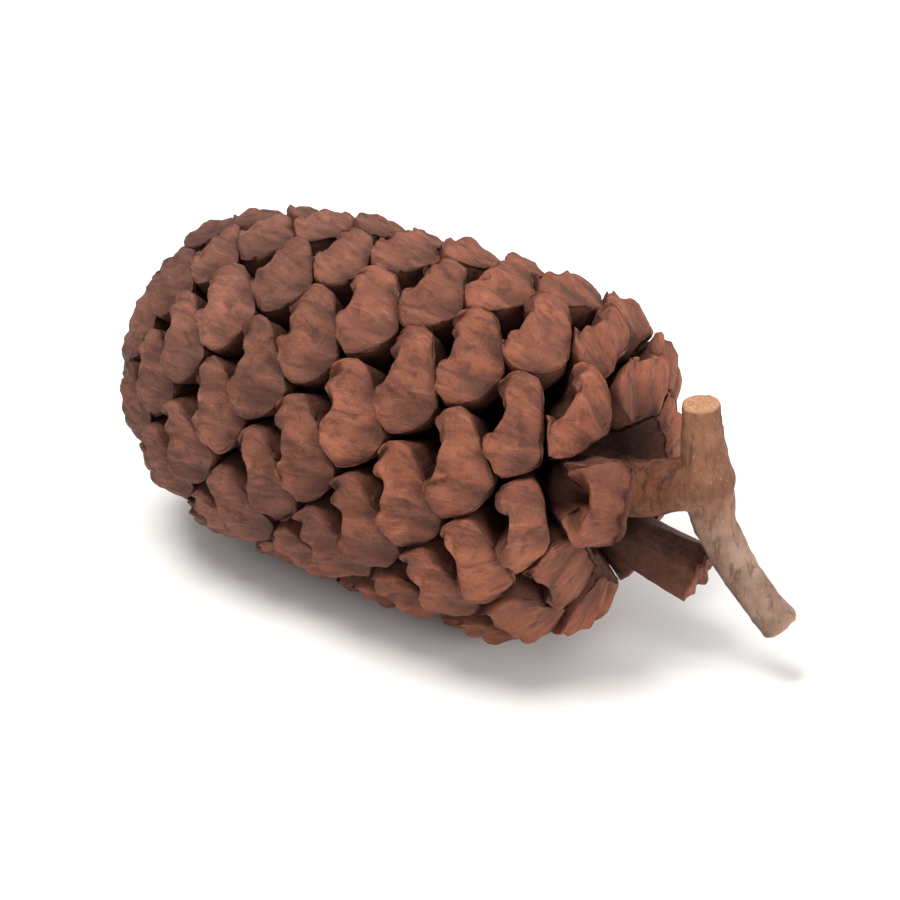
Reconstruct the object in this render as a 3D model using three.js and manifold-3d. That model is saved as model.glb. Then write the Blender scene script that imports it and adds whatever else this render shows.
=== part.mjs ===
// An alder cone: the small woody seed cone of the black alder, picked with a stub of its twig and lying on its side.
// Units are millimetres, +Z is up and z = 0 is the surface it lies on.
//
// The cone is described along its own axis: `a` runs from the stalk end (0) to the tip (BODY_LENGTH), `r` is the
// distance from the axis and `theta` turns about it. Every scale springs from the central axis by a narrow claw and
// widens into a thick lobed lip on the outside. The scales sit on a spiral, each one the golden angle round from the
// one before or close to it, which puts their lips in eight spirals one way and thirteen the other.
import * as THREE from "three";
import { mergeVertices } from "three/addons/utils/BufferGeometryUtils.js";
import Module from "manifold-3d";

// ---------------------------------------------------------------- driving dimensions
const BODY_LENGTH = 15.3; // from the lowest lips to the tip
const BODY_RADIUS = 4.7; // over the lips, at the widest
const WIDEST_AT = 7.0; // along the axis, from the stalk end
const BASE_RADIUS = 2.5; // over the lips, at the stalk end
const BASE_POWER = 8; // how blunt the stalk end is
const BASE_TAPER = 0.035; // how much it narrows before that
const TIP_POWER = 3.9; // how blunt the tip is
const SCALE_AREA = 4.6; // mm2 of the outside for each scale in the body
const SCALE_AREA_BASE = 3.9; // and at the stalk end
const SCALE_AREA_TIP = 2.6; // and at the tip
const DIVERGENCE = THREE.MathUtils.degToRad(137.0); // angle from one scale to the next
const SPIRAL_HAND = -1; // which way the spiral turns
const AXIS_RADIUS = 0.95; // the woody axis inside, at the stalk end
const AXIS_RADIUS_TIP = 0.42;
const AXIS_TOP = 13.2; // where the axis ends, inside the tip
const CLAW_GAP = 0.04; // between a claw and the axis
const CELL_GAP = 0.11; // between neighbouring scales
const CELL_GAP_TIP = 0.1; // and between those that close the tip
const INNERMOST = -1.25; // scale number that no lip reaches below, to keep off the stalk
const SQUARE = 0.65; // below 1 the sides that face the stalk and the tip lie more nearly square to the axis
const LEAN = 0.1; // how much more room a scale has below it than above
const SLOT = 0.52; // width of the slot over each lip
const TIP_GAP = 0.05; // between the closed tip and the axis inside it
// The lowest scales hang back round the stalk: how far back, how much more at the lower edge, and the lip's width.
const BENT = [
  [0.1, 0, 1],
  [0.65, 0.85, 1],
  [1.8, 0.1, 0.75],
  [0.1, 0, 1],
];
const CLAW_START = 1.7; // the lowest claws spring from the axis this far in, so the lips hang back round the stalk
const CLAW_RISE = 0.655; // and the claws are closer together along the axis than the lips are
const SEPARATE_SCALES = 58; // the scales that stand apart; those past them are closed into the tip

// The stalk: [out of the stalk end, away from the viewer, up] from the middle of the stalk end, and the radius there.
const STALK = [
  [-2.6, 0, 0, 0.86],
  [-1.2, 0, 0, 0.84],
  [0.2, 0.03, 0.12, 0.74],
  [1.1, 0.12, 0.45, 0.68],
  [1.75, 0.3, 0.7, 0.7],
];
// The piece of twig that the stalk grew on, from its broken upper end to its cut lower end.
const TWIG = [
  [1.75, 0.35, 2.9, 0.46],
  [1.85, 0.4, 1.85, 0.55],
  [2.0, 0.45, 0.75, 0.64],
  [2.25, 0.6, -0.6, 0.56],
  [3.0, 0.85, -2.0, 0.5],
  [4.0, 1.1, -3.2, 0.5],
];

// How the cone lies: turned about its own axis, then leant and pitched, then set down.
const ROLL = 160.3; // degrees
const PITCH = 0.46; // degrees, tip down is positive
const FLOOR_CUT = 0.1; // how much the lowest lips are worn flat where they rest

const wasm = await Module();
wasm.setup();

// ---------------------------------------------------------------- the outside and the spiral
const rand = (i, seed) => {
  const x = Math.sin(i * 12.9898 + seed * 78.233) * 43758.5453;
  return x - Math.floor(x);
};
const jitter = (i, seed) => 2 * rand(i, seed) - 1;
const clamp = (x, lo, hi) => Math.min(hi, Math.max(lo, x));
const smooth = (lo, hi, x) => {
  const t = clamp((x - lo) / (hi - lo), 0, 1);
  return t * t * (3 - 2 * t);
};
const mix = (a, b, t) => a + (b - a) * t;

// Radius over the lips.
const BASE_SPAN =
  WIDEST_AT / (1 - (BASE_RADIUS / BODY_RADIUS) ** 2) ** (1 / BASE_POWER);
function outside(a) {
  if (a < WIDEST_AT) {
    const x = (WIDEST_AT - a) / BASE_SPAN;
    return BODY_RADIUS * (1 - BASE_TAPER * x * x) * Math.sqrt(Math.max(0, 1 - x ** BASE_POWER));
  }
  const x = clamp((a - WIDEST_AT) / (BODY_LENGTH - WIDEST_AT), 0, 1);
  return BODY_RADIUS * Math.sqrt(Math.max(0, 1 - x ** TIP_POWER));
}
const areaAt = (a) =>
  SCALE_AREA -
  (SCALE_AREA - SCALE_AREA_BASE) * (1 - smooth(0, 3.2, a)) -
  (SCALE_AREA - SCALE_AREA_TIP) * smooth(5, BODY_LENGTH, a);

// A table along the outside: arc length gives the scale number.
const STEPS = 4000;
const tableN = [0];
const tableA = [0];
{
  let n = 0;
  for (let k = 1; k <= STEPS; k++) {
    // finer towards the tip, where the outside turns over
    const a0 = BODY_LENGTH * (1 - (1 - (k - 1) / STEPS) ** 2);
    const a1 = BODY_LENGTH * (1 - (1 - k / STEPS) ** 2);
    const r0 = outside(a0);
    const r1 = outside(a1);
    n += (Math.PI * (r0 + r1) * Math.hypot(a1 - a0, r1 - r0)) / areaAt((a0 + a1) / 2);
    tableN.push(n);
    tableA.push(a1);
  }
}
const N_MAX = tableN[STEPS];
const SCALES = Math.floor(N_MAX);
function alongOf(n) {
  if (n <= 0) return 0;
  if (n >= N_MAX) return BODY_LENGTH;
  let lo = 0;
  let hi = STEPS;
  while (hi - lo > 1) {
    const mid = (lo + hi) >> 1;
    if (tableN[mid] <= n) lo = mid;
    else hi = mid;
  }
  return mix(tableA[lo], tableA[hi], (n - tableN[lo]) / (tableN[hi] - tableN[lo]));
}

const axisRadius = (a) =>
  mix(AXIS_RADIUS, AXIS_RADIUS_TIP, clamp(a / AXIS_TOP, 0, 1));

// The path of the scale with (continuous) number n, from its claw to its lip, in the (r, a) plane.
function pathAt(n) {
  if (n < 0) {
    // below the lowest scale the paths go on as they were
    const p = pathAt(0);
    const q = pathAt(1);
    const on = (x, y) => [x[0] + n * (y[0] - x[0]), x[1] + n * (y[1] - x[1])];
    return { p0: on(p.p0, q.p0), p1: on(p.p1, q.p1), p2: on(p.p2, q.p2), d: p.d };
  }
  const m = Math.min(n, N_MAX - 0.02);
  const a = alongOf(m);
  const r = outside(a);
  const e = 0.01;
  const lo = Math.max(0, a - e);
  const hi = Math.min(BODY_LENGTH, a + e);
  let nr = hi - lo;
  let na = -(outside(hi) - outside(lo));
  const nl = Math.hypot(nr, na);
  nr /= nl;
  na /= nl;
  const w = mix(0.55, 0.8, smooth(8, BODY_LENGTH, a));
  let dr = mix(1, nr, w);
  let da = mix(0, na, w);
  const dl = Math.hypot(dr, da);
  dr /= dl;
  da /= dl;
  const a0 = CLAW_START + CLAW_RISE * a;
  const p0 = [axisRadius(a0) * Math.min(1, r / 1.6), a0];
  const p2 = [r, a];
  const l = Math.hypot(p2[0] - p0[0], p2[1] - p0[1]) * 0.5;
  return { p0, p1: [p2[0] - dr * l, p2[1] - da * l], p2, d: [dr, da] };
}
// The point a share rho of the way along the path, and `out` past its end.
function pointOn(n, rho, out = 0) {
  const { p0, p1, p2, d } = pathAt(n);
  const s = clamp(rho, 0, 1);
  const b = [0, 1].map(
    (k) => (1 - s) ** 2 * p0[k] + 2 * s * (1 - s) * p1[k] + s * s * p2[k],
  );
  return [b[0] + d[0] * out, b[1] + d[1] * out];
}
// Radius and spacing per scale number, square to the path, at a place on it.
function metric(n, rho) {
  const p = pointOn(n - 0.5, rho);
  const q = pointOn(n + 0.5, rho);
  const c = pointOn(n, rho);
  const s0 = pointOn(n, Math.max(0, rho - 0.03));
  const s1 = pointOn(n, Math.min(1, rho + 0.03));
  const tl = Math.hypot(s1[0] - s0[0], s1[1] - s0[1]) || 1;
  const tr = (s1[0] - s0[0]) / tl;
  const ta = (s1[1] - s0[1]) / tl;
  const g = Math.abs((q[1] - p[1]) * tr - (q[0] - p[0]) * ta);
  return { r: Math.max(c[0], 0.05), g: Math.max(g, 0.01) };
}

// Where each scale sits: its number along the spiral and its angle, each a little off, as they grow.
const seat = (i) => ({
  n: i + 0.5 + 0.22 * jitter(i, 1),
  theta: SPIRAL_HAND * i * DIVERGENCE + THREE.MathUtils.degToRad(ROLL) + 0.035 * jitter(i, 2),
});
const wrap = (x) => x - 2 * Math.PI * Math.round(x / (2 * Math.PI));

// ---------------------------------------------------------------- one scale
// The skin of a box divided nu x nv x ns, as points in [-1,1] x [-1,1] x [0,1] and triangles facing out.
function boxSkin(nu, nv, ns) {
  const index = new Map();
  const points = [];
  const tris = [];
  const at = (i, j, k) => {
    const key = (i * 64 + j) * 64 + k;
    if (!index.has(key)) {
      index.set(key, points.length);
      points.push([(2 * i) / nu - 1, (2 * j) / nv - 1, k / ns]);
    }
    return index.get(key);
  };
  const quad = (a, b, c, d) => tris.push([a, b, c], [a, c, d]);
  for (let i = 0; i < nu; i++)
    for (let j = 0; j < nv; j++) {
      quad(at(i, j, 0), at(i, j + 1, 0), at(i + 1, j + 1, 0), at(i + 1, j, 0));
      quad(at(i, j, ns), at(i + 1, j, ns), at(i + 1, j + 1, ns), at(i, j + 1, ns));
    }
  for (let i = 0; i < nu; i++)
    for (let k = 0; k < ns; k++) {
      quad(at(i, 0, k), at(i + 1, 0, k), at(i + 1, 0, k + 1), at(i, 0, k + 1));
      quad(at(i, nv, k), at(i, nv, k + 1), at(i + 1, nv, k + 1), at(i + 1, nv, k));
    }
  for (let j = 0; j < nv; j++)
    for (let k = 0; k < ns; k++) {
      quad(at(0, j, k), at(0, j, k + 1), at(0, j + 1, k + 1), at(0, j + 1, k));
      quad(at(nu, j, k), at(nu, j + 1, k), at(nu, j + 1, k + 1), at(nu, j, k + 1));
    }
  return { points, tris };
}

const STATIONS = [0, 0.3, 0.62, 0.86, 1]; // along the path, closer together at the lip
// A point of scale i: u across (-1 to 1), v through (-1 under, 1 over), k the station from claw to lip.
function scalePoint(i, u, v, station, last) {
  const me = seat(i);
  const unit = Math.sqrt(areaAt(alongOf(me.n)));
  const low = 1 - smooth(0.05, 0.36, i / SCALES); // the lips near the stalk are the thickest
  const inTip = i >= SEPARATE_SCALES;
  // a fan: narrow claw, wide lip; thin blade, thick lip
  const bent = BENT[i] ?? [0, 0, 1];
  const w = mix(0.28, unit * (0.74 + 0.03 * jitter(i, 3)) * bent[2], station ** 0.85);
  const top = 0.62 * unit; // thickness above the middle, where the neighbours leave room
  const foot = 0.8 * unit; // and below it
  const slot = ((SLOT * unit) / 2.07) * (mix(0.9, 1.6, low) + 0.3 * jitter(i, 4));
  const thick = mix(0.25, 0.4 * unit, smooth(0, 0.6, station));
  const above = inTip ? mix(thick, top, smooth(0.62, 0.9, station)) : mix(0.2, top, smooth(0.3, 1, station));
  const below = inTip ? mix(thick, foot, smooth(0.62, 0.95, station)) : mix(0.2, foot, smooth(0.4, 1, station));
  const end = smooth(0.4, 1, station);
  const up = above;
  const down = above + (below - above) * (1 - Math.abs(u));
  const t = w * u * (1 - 0.1 * v * v * end);
  const y = v * (v > 0 ? up : down) + end * 0.16 * jitter(i, 6) * t;
  // keep to its own share of the space between its neighbours
  const rho = station;
  const m0 = metric(me.n, rho);
  const np = me.n + y / m0.g;
  const dth = t / m0.r;
  const m1 = metric(clamp(np, -2, N_MAX), rho);
  const p = [m1.r * dth, m1.g * (np - me.n)];
  let sum = 1;
  for (let j = Math.max(0, i - 24); j <= Math.min(SCALES - 1, i + 24); j++) {
    if (j === i) continue;
    const other = seat(j);
    const d = [m1.r * wrap(other.theta - me.theta), m1.g * (other.n - me.n)];
    const side = [d[0] * mix(1, SQUARE, smooth(0.3, 0.9, rho)), d[1]];
    const l = Math.hypot(side[0], side[1]);
    const reach = (p[0] * side[0] + p[1] * side[1]) / l;
    const share = 0.5 - Math.sign(d[1]) * LEAN * smooth(0.15, 0.75, Math.abs(d[1]) / unit);
    const gap = inTip && j >= SEPARATE_SCALES ? CELL_GAP_TIP : CELL_GAP;
    const limit = (share * (d[0] * side[0] + d[1] * side[1])) / l - gap / 2;
    if (reach > 0) sum += (reach / Math.max(limit, 0.05)) ** 14;
  }
  const k = sum ** (-1 / 14);
  // the slot over the lip, with two lobes in its lower edge
  const open = Math.max(0, slot * Math.max(0, 1 - (u / 0.85) ** 2) + (0.06 * Math.cos(2 * Math.PI * u) * unit) / 2.07);
  const n = clamp(
    me.n + k * (np - me.n) - (smooth(0.5, 1, station) * open * Math.max(v, 0)) / m1.g,
    mix(-3, INNERMOST, smooth(0, 0.6, station)),
    N_MAX - 0.03,
  );
  const theta = me.theta + k * dth;
  // the lip swells outwards, most along its middle
  const out = last
    ? 0.09 * jitter(i, 5) + unit * (0.1 * (1 - 0.4 * u * u) * (1 - 0.8 * v * v) - (v < 0 ? 0.06 : 0) - 0.03)
    : 0;
  const [r, a] = pointOn(n, rho, out);
  const rr = rho === 0 ? Math.max(r, axisRadius(a) + (i < SEPARATE_SCALES ? CLAW_GAP : 0.17)) : r;
  return [a - bent[0] * (1 - bent[1] * v) * rho ** 3, rr * Math.cos(theta), rr * Math.sin(theta)];
}
function scaleGeometry(i, nu, nv) {
  const stations = STATIONS;
  const ns = stations.length - 1;
  const { points, tris } = boxSkin(nu, nv, ns);
  const position = new Float32Array(points.length * 3);
  points.forEach(([u, v, s], q) => {
    const k = Math.round(s * ns);
    position.set(scalePoint(i, u, v, stations[k], k === ns), q * 3);
  });
  const g = new THREE.BufferGeometry();
  g.setAttribute("position", new THREE.BufferAttribute(position, 3));
  g.setIndex(tris.flat());
  return g;
}

// ---------------------------------------------------------------- solids
function solid(geometry) {
  const g = geometry.clone();
  for (const name of Object.keys(g.attributes)) if (name !== "position") g.deleteAttribute(name);
  const m = mergeVertices(g, 1e-4);
  const made = new wasm.Manifold(
    new wasm.Mesh({
      numProp: 3,
      vertProperties: new Float32Array(m.attributes.position.array),
      triVerts: new Uint32Array(m.index.array),
    }),
  );
  if (made.volume() >= 0) return made;
  const t = m.index.array;
  for (let q = 0; q < t.length; q += 3) [t[q + 1], t[q + 2]] = [t[q + 2], t[q + 1]];
  return new wasm.Manifold(
    new wasm.Mesh({
      numProp: 3,
      vertProperties: new Float32Array(m.attributes.position.array),
      triVerts: new Uint32Array(t),
    }),
  );
}
// The one body of a union, with the slivers of its seams taken out.
const whole = (s, tolerance = 0.02) =>
  s
    .asOriginal()
    .simplify(tolerance)
    .decompose()
    .sort((a, b) => b.volume() - a.volume())[0];
function geometryOf(s) {
  const m = s.getMesh();
  const g = new THREE.BufferGeometry();
  const v = new Float32Array(m.numVert * 3);
  for (let q = 0; q < m.numVert; q++)
    v.set(m.vertProperties.subarray(q * m.numProp, q * m.numProp + 3), q * 3);
  g.setAttribute("position", new THREE.BufferAttribute(v, 3));
  g.setIndex(new THREE.BufferAttribute(new Uint32Array(m.triVerts), 1));
  return g;
}
// Points of a surface that all but touch, with no edge between them, are drawn a little apart.
function drawnApart(g, nearest = 0.003, wanted = 0.005) {
  const v = g.attributes.position.array;
  const t = g.index.array;
  const joined = new Set();
  for (let q = 0; q < t.length; q += 3)
    for (const [a, b] of [[t[q], t[q + 1]], [t[q + 1], t[q + 2]], [t[q + 2], t[q]]])
      joined.add(Math.min(a, b) + "," + Math.max(a, b));
  for (let round = 0; round < 4; round++) {
    const order = [...Array(v.length / 3).keys()].sort((a, b) => v[3 * a] - v[3 * b]);
    for (let x = 0; x < order.length; x++)
      for (let y = x + 1; y < order.length; y++) {
        const a = order[x];
        const b = order[y];
        if (v[3 * b] - v[3 * a] > nearest) break;
        const d = [0, 1, 2].map((k) => v[3 * b + k] - v[3 * a + k]);
        const l = Math.hypot(...d);
        if (l > nearest || joined.has(Math.min(a, b) + "," + Math.max(a, b))) continue;
        for (let k = 0; k < 3; k++) {
          const by = l > 1e-7 ? (d[k] / l) * (wanted - l) * 0.5 : k === 2 ? wanted / 2 : 0;
          v[3 * a + k] -= by;
          v[3 * b + k] += by;
        }
      }
  }
  return g;
}
// A round bar along a curve, with a radius at each step and flat ends.
function bar(points, radii, sides) {
  const curve = new THREE.CatmullRomCurve3(points.map((p) => new THREE.Vector3(...p)));
  const steps = 4 * (points.length - 1);
  const frames = curve.computeFrenetFrames(steps, false);
  const position = [];
  const index = [];
  for (let k = 0; k <= steps; k++) {
    const c = curve.getPoint(k / steps);
    const f = (k / steps) * (radii.length - 1);
    const q = Math.min(radii.length - 2, Math.floor(f));
    const rad = mix(radii[q], radii[q + 1], f - q);
    for (let s = 0; s < sides; s++) {
      const t = (2 * Math.PI * s) / sides;
      const o = frames.normals[k]
        .clone()
        .multiplyScalar(rad * Math.cos(t))
        .addScaledVector(frames.binormals[k], rad * Math.sin(t));
      position.push(c.x + o.x, c.y + o.y, c.z + o.z);
    }
  }
  for (let k = 0; k < steps; k++)
    for (let s = 0; s < sides; s++) {
      const a = k * sides + s;
      const b = k * sides + ((s + 1) % sides);
      index.push(a, b, b + sides, a, b + sides, a + sides);
    }
  for (const [ring, flip] of [[0, true], [steps, false]]) {
    const c = position.length / 3;
    const mid = curve.getPoint(ring / steps);
    position.push(mid.x, mid.y, mid.z);
    for (let s = 0; s < sides; s++) {
      const a = ring * sides + s;
      const b = ring * sides + ((s + 1) % sides);
      index.push(...(flip ? [c, b, a] : [c, a, b]));
    }
  }
  const g = new THREE.BufferGeometry();
  g.setAttribute("position", new THREE.Float32BufferAttribute(position, 3));
  g.setIndex(index);
  return g;
}
// A bar whose points carry their own radius, [x, y, z, r]; flat ends.
const limb = (points, sides) =>
  solid(bar(points.map((p) => p.slice(0, 3)), points.map((p) => p[3]), sides));
// A turned shape about the cone's axis, from [radius, along] pairs.
function turned(profile, sides) {
  const g = new THREE.LatheGeometry(
    profile.map(([r, a]) => new THREE.Vector2(r, a)),
    sides,
  );
  g.rotateZ(-Math.PI / 2); // the lathe's +Y becomes +X, the cone's axis
  return g;
}

const bark = new THREE.MeshStandardMaterial({ name: "twig", color: 0x7b4f3c, roughness: 0.85, metalness: 0 });
const wood = new THREE.MeshStandardMaterial({ name: "scale", color: 0x8a543f, roughness: 0.8, metalness: 0 });

// ---------------------------------------------------------------- the cone, lying down
// The cone's own frame has +X from stalk to tip; the part's frame has the stalk towards +X.
const place = new THREE.Matrix4()
  .makeRotationY(-THREE.MathUtils.degToRad(PITCH))
  .multiply(new THREE.Matrix4().makeRotationZ(Math.PI));

const group = new THREE.Group();
group.name = "alder_cone";
const pieces = [];
for (let i = 0; i < SEPARATE_SCALES; i++)
  pieces.push([`scale_${String(i + 1).padStart(2, "0")}`, solid(scaleGeometry(i, 4, 2)), wood]);

// The closed tip: its scales press and grow together round the end of the axis.
{
  const low = pathAt(seat(SEPARATE_SCALES).n).p0[1] + 0.25;
  const nCore = SEPARATE_SCALES + 13;
  const wide = pointOn(nCore, 0.7);
  const profile = [
    [0, low],
    [axisRadius(low) + 0.36, low],
    [axisRadius(low) + 0.36, pointOn(nCore, 0)[1] - 0.1],
    wide,
  ];
  for (let k = 1; k <= 5; k++) {
    profile.push([Math.max(0, wide[0] * Math.sqrt(1 - (k / 5) ** 3)), mix(wide[1], BODY_LENGTH - 0.95, k / 5)]);
  }
  let tip = solid(turned(profile, 18));
  for (let i = SEPARATE_SCALES; i < SCALES; i++) tip = tip.add(solid(scaleGeometry(i, 4, 2)));
  tip = tip.add(solid(new THREE.SphereGeometry(0.45, 12, 8).translate(BODY_LENGTH - 0.42, 0, 0)));
  tip = tip.subtract(
    solid(
      turned(
        [
          [0, low - 1],
          [axisRadius(low - 1) + TIP_GAP, low - 1],
          [axisRadius(AXIS_TOP) + TIP_GAP, AXIS_TOP + TIP_GAP],
          [0, AXIS_TOP + TIP_GAP],
        ],
        12,
      ),
    ),
  );
  tip = whole(tip);
  pieces.push(["closed_tip", tip, wood]);
}
// The stalk with its piece of twig, and the axis that it becomes inside the cone.
{
  const toCone = ([x, y, z, r]) => [-x, -y, z, r];
  const axis = turned(
    [
      [0, 0.6],
      [axisRadius(0.6) * 0.8, 0.6],
      [axisRadius(1.6), 1.6],
      [axisRadius(AXIS_TOP), AXIS_TOP - 0.2],
      [0, AXIS_TOP],
    ],
    16,
  );
  const stalk = solid(axis)
    .add(limb(STALK.map(toCone), 12))
    .add(limb(TWIG.map(toCone), 12))
    .add(solid(new THREE.SphereGeometry(0.8, 14, 9).translate(-1.9, -0.42, 0.75)));
  pieces.push(["stalk_and_axis", whole(stalk), bark]);
}
// Turned as it lies, set down on its lowest lips, and centred over the origin.
let laid = pieces.map(([name, s, material]) => [name, s.transform(place.elements), material]);
const floor = Math.min(...laid.map(([, s]) => s.boundingBox().min[2])) + FLOOR_CUT;
const under = wasm.Manifold.cube([60, 60, 20], true).translate([0, 0, -10]);
laid = laid.map(([name, s, material]) => {
  const down = s.translate([0, 0, -floor]);
  return [name, down.boundingBox().min[2] < 0 ? whole(down.subtract(under), 0.005) : down, material];
});
const middle = [0, 1].map(
  (k) =>
    (Math.min(...laid.map(([, s]) => s.boundingBox().min[k])) +
      Math.max(...laid.map(([, s]) => s.boundingBox().max[k]))) /
    2,
);
for (const [name, s, material] of laid) {
  const mesh = new THREE.Mesh(drawnApart(geometryOf(s.translate([-middle[0], -middle[1], 0]))), material);
  mesh.name = name;
  group.add(mesh);
}

export default group;
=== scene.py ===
"""The looks of an alder cone: woody lobed scales on a spiral, a closed tip, and a stalk on a piece of twig.

Lengths in the first part are millimetres in the cone's own frame: a along the axis from the stalk end to the tip, r from
the axis and theta round it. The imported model's frame is reached at the end of each piece, in metres.
"""

import math

import bmesh
import bpy
import numpy as np
from mathutils import Matrix, Vector


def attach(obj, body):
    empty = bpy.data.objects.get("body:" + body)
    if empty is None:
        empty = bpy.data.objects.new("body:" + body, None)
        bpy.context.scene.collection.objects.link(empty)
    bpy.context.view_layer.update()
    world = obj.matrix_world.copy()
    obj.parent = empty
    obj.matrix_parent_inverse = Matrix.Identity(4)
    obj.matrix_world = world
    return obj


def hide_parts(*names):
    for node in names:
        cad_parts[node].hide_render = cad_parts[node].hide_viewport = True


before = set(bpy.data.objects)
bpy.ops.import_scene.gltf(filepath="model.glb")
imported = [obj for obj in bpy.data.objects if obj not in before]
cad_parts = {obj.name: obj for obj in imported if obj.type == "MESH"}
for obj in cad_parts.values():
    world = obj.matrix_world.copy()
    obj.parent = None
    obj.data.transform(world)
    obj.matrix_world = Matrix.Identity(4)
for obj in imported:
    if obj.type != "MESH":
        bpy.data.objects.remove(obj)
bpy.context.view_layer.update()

# ---------------------------------------------------------------- the cone's dimensions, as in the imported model
BODY_LENGTH = 15.3
BODY_RADIUS = 4.7
WIDEST_AT = 7.0
BASE_RADIUS = 2.5
BASE_POWER = 8
BASE_TAPER = 0.035
TIP_POWER = 3.9
SCALE_AREA = 4.6
SCALE_AREA_BASE = 3.9
SCALE_AREA_TIP = 2.6
DIVERGENCE = math.radians(137.0)
SPIRAL_HAND = -1
AXIS_RADIUS = 0.95
AXIS_RADIUS_TIP = 0.42
AXIS_TOP = 13.2
CLAW_GAP = 0.04
CELL_GAP = 0.03
CELL_GAP_TIP = 0.03
INNERMOST = -1.25
SQUARE = 0.65  # below 1 the sides that face the stalk and the tip lie more nearly square to the axis
LEAN = 0.1  # how much more room a scale has below it than above
SLOT = 0.62  # width of the slots
# the lowest scales hang back round the stalk: how far, how much more at the lower edge, and the width of the lip
BENT = {0: (0.1, 0, 1), 1: (0.65, 0.85, 1), 2: (1.8, 0.1, 0.75), 3: (0.1, 0, 1)}
CLAW_START = 1.7
CLAW_RISE = 0.655
SEPARATE_SCALES = 58
STALK = [
    (-2.6, 0, 0, 0.86),
    (-1.2, 0, 0, 0.84),
    (0.2, 0.03, 0.12, 0.74),
    (1.1, 0.12, 0.45, 0.68),
    (1.75, 0.3, 0.7, 0.7),
]
TWIG = [
    (1.75, 0.35, 2.9, 0.46),
    (1.85, 0.4, 1.85, 0.55),
    (2.0, 0.45, 0.75, 0.64),
    (2.25, 0.6, -0.6, 0.56),
    (3.0, 0.85, -2.0, 0.5),
    (4.0, 1.1, -3.2, 0.5),
]
ROLL = math.radians(160.3)
PITCH = math.radians(0.46)
SET_DOWN = np.array([5.459772700204606, 0.01876473426818759, 4.826846369712068])


def rand(i, seed):
    x = np.sin(np.asarray(i, float) * 12.9898 + seed * 78.233) * 43758.5453
    return x - np.floor(x)


def jitter(i, seed):
    return 2 * rand(i, seed) - 1


def smooth(lo, hi, x):
    t = np.clip((np.asarray(x, float) - lo) / (hi - lo), 0, 1)
    return t * t * (3 - 2 * t)


def mix(a, b, t):
    return a + (b - a) * t


BASE_SPAN = WIDEST_AT / (1 - (BASE_RADIUS / BODY_RADIUS) ** 2) ** (1 / BASE_POWER)


def outside(a):
    a = np.asarray(a, float)
    y = np.maximum(WIDEST_AT - a, 0) / BASE_SPAN
    low = (1 - BASE_TAPER * y * y) * np.sqrt(np.maximum(0, 1 - y**BASE_POWER))
    x = np.clip((a - WIDEST_AT) / (BODY_LENGTH - WIDEST_AT), 0, 1)
    return BODY_RADIUS * np.where(a < WIDEST_AT, low, np.sqrt(np.maximum(0, 1 - x**TIP_POWER)))


def area_at(a):
    return (
        SCALE_AREA
        - (SCALE_AREA - SCALE_AREA_BASE) * (1 - smooth(0, 3.2, a))
        - (SCALE_AREA - SCALE_AREA_TIP) * smooth(5.0, BODY_LENGTH, a)
    )


STEPS = 4000
TABLE_A = BODY_LENGTH * (1 - (1 - np.arange(STEPS + 1) / STEPS) ** 2)
_r = outside(TABLE_A)
TABLE_N = np.concatenate(
    [
        [0],
        np.cumsum(
            math.pi
            * (_r[:-1] + _r[1:])
            * np.hypot(np.diff(TABLE_A), np.diff(_r))
            / area_at((TABLE_A[:-1] + TABLE_A[1:]) / 2)
        ),
    ]
)
N_MAX = TABLE_N[-1]
SCALES = int(N_MAX)


def along_of(n):
    return np.interp(n, TABLE_N, TABLE_A)


def axis_radius(a):
    return mix(AXIS_RADIUS, AXIS_RADIUS_TIP, np.clip(np.asarray(a, float) / AXIS_TOP, 0, 1))


def _path(n):
    """The path from claw to lip for scale numbers n >= 0: p0, p1, p2 and the direction at the lip, each (..., 2)."""
    m = np.minimum(n, N_MAX - 0.02)
    a = along_of(m)
    r = outside(a)
    lo, hi = np.maximum(0, a - 0.01), np.minimum(BODY_LENGTH, a + 0.01)
    nr, na = hi - lo, -(outside(hi) - outside(lo))
    nl = np.hypot(nr, na)
    w = mix(0.55, 0.8, smooth(8, BODY_LENGTH, a))
    dr, da = mix(1, nr / nl, w), mix(0, na / nl, w)
    dl = np.hypot(dr, da)
    dr, da = dr / dl, da / dl
    a0 = CLAW_START + CLAW_RISE * a
    p0 = np.stack([axis_radius(a0) * np.minimum(1, r / 1.6), a0], -1)
    p2 = np.stack([r, a], -1)
    length = np.hypot(p2[..., 0] - p0[..., 0], p2[..., 1] - p0[..., 1]) * 0.5
    d = np.stack([dr, da], -1)
    return p0, p2 - d * length[..., None], p2, d


def path(n):
    n = np.asarray(n, float)
    p0, p1, p2, d = _path(np.maximum(n, 0))
    q0, q1, q2, dz = _path(np.zeros(1))
    s0, s1, s2, _ = _path(np.ones(1))
    below = (n < 0)[..., None]
    k = np.minimum(n, 0)[..., None]
    return (
        np.where(below, q0 + k * (s0 - q0), p0),
        np.where(below, q1 + k * (s1 - q1), p1),
        np.where(below, q2 + k * (s2 - q2), p2),
        np.where(below, dz, d),
    )


def point_on(n, rho, out=0.0):
    p0, p1, p2, d = path(n)
    s = np.clip(np.asarray(rho, float), 0, 1)[..., None]
    b = (1 - s) ** 2 * p0 + 2 * s * (1 - s) * p1 + s * s * p2
    return b + d * np.asarray(out, float)[..., None]


def metric(n, rho):
    p, q, c = point_on(n - 0.5, rho), point_on(n + 0.5, rho), point_on(n, rho)
    s0, s1 = point_on(n, np.maximum(0, rho - 0.03)), point_on(n, np.minimum(1, rho + 0.03))
    t = s1 - s0
    t /= np.maximum(np.linalg.norm(t, axis=-1, keepdims=True), 1e-9)
    g = np.abs((q[..., 1] - p[..., 1]) * t[..., 0] - (q[..., 0] - p[..., 0]) * t[..., 1])
    return np.maximum(c[..., 0], 0.05), np.maximum(g, 0.01)


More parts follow.
